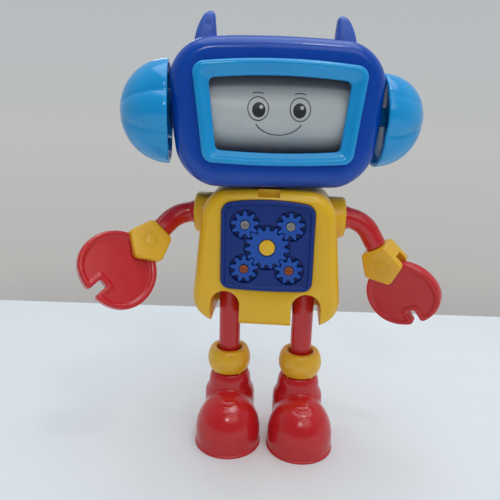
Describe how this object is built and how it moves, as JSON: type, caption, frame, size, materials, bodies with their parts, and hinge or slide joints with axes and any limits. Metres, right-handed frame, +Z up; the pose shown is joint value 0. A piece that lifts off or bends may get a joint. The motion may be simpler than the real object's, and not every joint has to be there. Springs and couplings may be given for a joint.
{
  "type": "toy robot",
  "caption": "Toy robot with a television-like head, a turning face drum moved by lobed ears, meshing chest gears, bent arms with disc hands, and legs in round boots.",
  "frame": {"origin": "on the floor between the boots, under the middle of the torso", "axes": "+Z up, -Y where the robot faces, +X towards the robot's own left hand"},
  "size_m": [0.1956, 0.0861, 0.24],
  "materials": {
    "yellow_abs": "moulded, semi-gloss",
    "amber_abs": "moulded, slightly translucent",
    "royal_blue_abs": "moulded, glossy",
    "panel_blue_abs": "moulded, satin",
    "gear_blue_abs": "moulded, glossy",
    "sky_blue_abs": "moulded, glossy",
    "navy_abs": "moulded, satin",
    "horn_pvc": "moulded, soft, satin",
    "red_pvc": "moulded, soft gloss",
    "face_drum_abs": "printed, satin",
    "steel": "plated screw steel"
  },
  "bodies": {
    "torso": {"torso_front_shell": "yellow_abs", "torso_back_shell": "yellow_abs", "chest_panel": "panel_blue_abs", "gear_hub": "yellow_abs", "gear_screws": "steel", "torso_screws": "steel", "neck_post": "yellow_abs", "hip_axle": "steel"},
    "head": {"head_front_shell": "royal_blue_abs", "head_back_shell": "royal_blue_abs", "screen_bezel": "sky_blue_abs", "ear_bearing_right": "navy_abs", "ear_bearing_left": "navy_abs", "head_screws": "steel", "horn_right": "horn_pvc", "horn_left": "horn_pvc"},
    "face_drum": {"face_drum": "face_drum_abs", "drum_axle": "steel", "ear_right": "sky_blue_abs", "ear_left": "sky_blue_abs"},
    "arm_right": {"arm_right": "red_pvc"},
    "wrist_right": {"wrist_block_right": "amber_abs", "wrist_pin_right": "amber_abs"},
    "hand_right": {"hand_right": "red_pvc"},
    "leg_right": {"leg_right": "red_pvc", "ankle_cuff_right": "amber_abs"},
    "foot_right": {"boot_right": "red_pvc"},
    "arm_left": {"arm_left": "red_pvc"},
    "wrist_left": {"wrist_block_left": "amber_abs", "wrist_pin_left": "amber_abs"},
    "hand_left": {"hand_left": "red_pvc"},
    "leg_left": {"leg_left": "red_pvc", "ankle_cuff_left": "amber_abs"},
    "foot_left": {"boot_left": "red_pvc"},
    "centre_gear": {"centre_gear": "gear_blue_abs"},
    "gear_upper_right": {"gear_upper_right": "gear_blue_abs"},
    "gear_upper_left": {"gear_upper_left": "gear_blue_abs"},
    "gear_lower_right": {"gear_lower_right": "gear_blue_abs"},
    "gear_lower_left": {"gear_lower_left": "gear_blue_abs"}
  },
  "joints": [
    {"name": "neck_turn", "type": "hinge", "parent": "torso", "child": "head", "pos_m": [0, 0, 0.1535], "axis": [0, 0, 1], "continuous": true},
    {"name": "face_drum_turn", "type": "hinge", "parent": "head", "child": "face_drum", "pos_m": [0, 0, 0.19], "axis": [0.9877, 0.1564, 0], "continuous": true},
    {"name": "shoulder_right", "type": "hinge", "parent": "torso", "child": "arm_right", "pos_m": [-0.0415, 0, 0.1357], "axis": [1, 0, 0], "range_deg": [-43, 147]},
    {"name": "wrist_turn_right", "type": "hinge", "parent": "arm_right", "child": "wrist_right", "pos_m": [-0.05975, -0.01158, 0.12665], "axis": [0.5, 0.6824, 0.5332], "continuous": true},
    {"name": "hand_tilt_right", "type": "hinge", "parent": "wrist_right", "child": "hand_right", "pos_m": [-0.06525, -0.01909, 0.12079], "axis": [-0.5332, 0.7277, -0.4314], "range_deg": [-33, 27]},
    {"name": "shoulder_left", "type": "hinge", "parent": "torso", "child": "arm_left", "pos_m": [0.0415, 0, 0.1357], "axis": [1, 0, 0], "range_deg": [-95, 95]},
    {"name": "wrist_turn_left", "type": "hinge", "parent": "arm_left", "child": "wrist_left", "pos_m": [0.05975, 0, 0.12101], "axis": [0.5, 0, -0.866], "continuous": true},
    {"name": "hand_tilt_left", "type": "hinge", "parent": "wrist_left", "child": "hand_left", "pos_m": [0.06525, 0, 0.11148], "axis": [-0.433, -0.866, -0.25], "range_deg": [-34, 26]},
    {"name": "hip_right", "type": "hinge", "parent": "torso", "child": "leg_right", "pos_m": [-0.0213, 0, 0.0895], "axis": [1, 0, 0], "range_deg": [-90, 15]},
    {"name": "ankle_turn_right", "type": "hinge", "parent": "leg_right", "child": "foot_right", "pos_m": [-0.0213, 0, 0.03], "axis": [0, 0, 1], "range_deg": [-30, 0]},
    {"name": "hip_left", "type": "hinge", "parent": "torso", "child": "leg_left", "pos_m": [0.0213, 0, 0.0895], "axis": [1, 0, 0], "range_deg": [-90, 15]},
    {"name": "ankle_turn_left", "type": "hinge", "parent": "leg_left", "child": "foot_left", "pos_m": [0.0213, 0, 0.03], "axis": [0, 0, 1], "range_deg": [0, 30]},
    {"name": "centre_gear_spin", "type": "hinge", "parent": "torso", "child": "centre_gear", "pos_m": [0, -0.0243, 0.1229], "axis": [0, -1, 0], "continuous": true},
    {"name": "gear_spin_upper_right", "type": "hinge", "parent": "torso", "child": "gear_upper_right", "pos_m": [-0.01188, -0.0243, 0.13478], "axis": [0, -1, 0], "continuous": true},
    {"name": "gear_spin_upper_left", "type": "hinge", "parent": "torso", "child": "gear_upper_left", "pos_m": [0.01188, -0.0243, 0.13478], "axis": [0, -1, 0], "continuous": true},
    {"name": "gear_spin_lower_right", "type": "hinge", "parent": "torso", "child": "gear_lower_right", "pos_m": [-0.01188, -0.0243, 0.11102], "axis": [0, -1, 0], "continuous": true},
    {"name": "gear_spin_lower_left", "type": "hinge", "parent": "torso", "child": "gear_lower_left", "pos_m": [0.01188, -0.0243, 0.11102], "axis": [0, -1, 0], "continuous": true}
  ],
  "couplings": [
    {"joint": "gear_spin_upper_right", "follows": "centre_gear_spin", "ratio": -1.6667},
    {"joint": "gear_spin_upper_left", "follows": "centre_gear_spin", "ratio": -1.6667},
    {"joint": "gear_spin_lower_right", "follows": "centre_gear_spin", "ratio": -1.6667},
    {"joint": "gear_spin_lower_left", "follows": "centre_gear_spin", "ratio": -1.6667}
  ]
}
